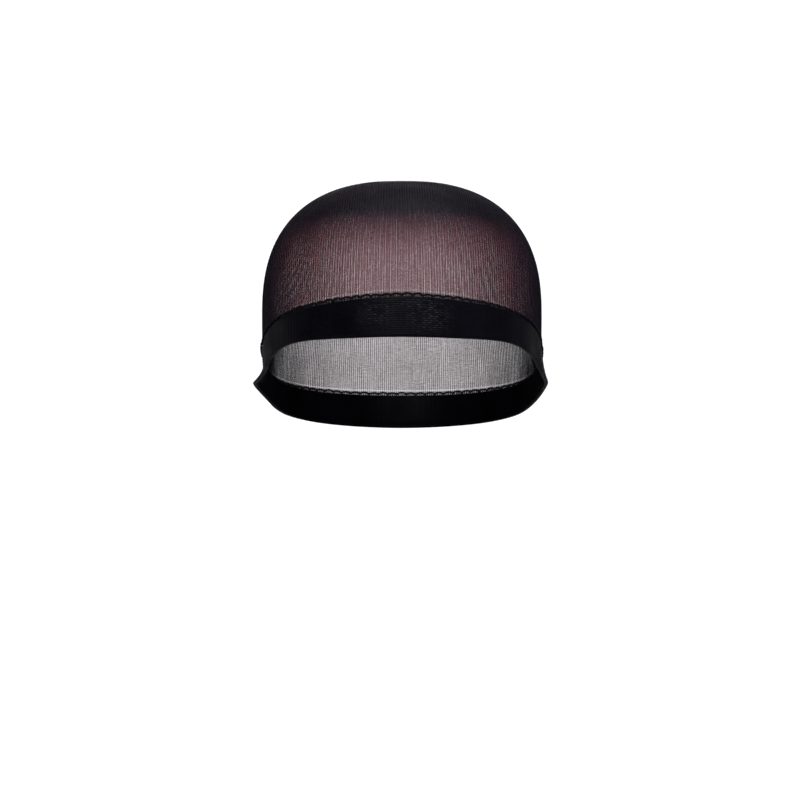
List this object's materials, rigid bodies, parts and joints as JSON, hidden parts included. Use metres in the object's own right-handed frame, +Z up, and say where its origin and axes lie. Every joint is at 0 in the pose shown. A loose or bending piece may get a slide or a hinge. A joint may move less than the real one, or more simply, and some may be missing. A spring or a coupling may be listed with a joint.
{
  "type": "stocking wig cap",
  "caption": "Sheer knitted wig cap in its worn form: a rounded crown closed by a short seam, a doubled ribbed elastic band and a looped edge, open below for a head.",
  "frame": {"origin": "middle of the head opening, level with the band's lower edge at the centre of the forehead", "axes": "+Z up to the vertex, -Y towards the face side, +X towards the wearer's left side"},
  "size_m": [0.1594, 0.1927, 0.1345],
  "materials": {
    "sheer_knit": "sheer black nylon stocking knit, soft low sheen",
    "elastic_band": "dense black ribbed elastic knit, matt",
    "loop_trim": "black twisted nylon yarn loops"
  },
  "bodies": {
    "root": {"crown": "sheer_knit", "band": "elastic_band", "loop_edge": "loop_trim"}
  },
  "joints": []
}
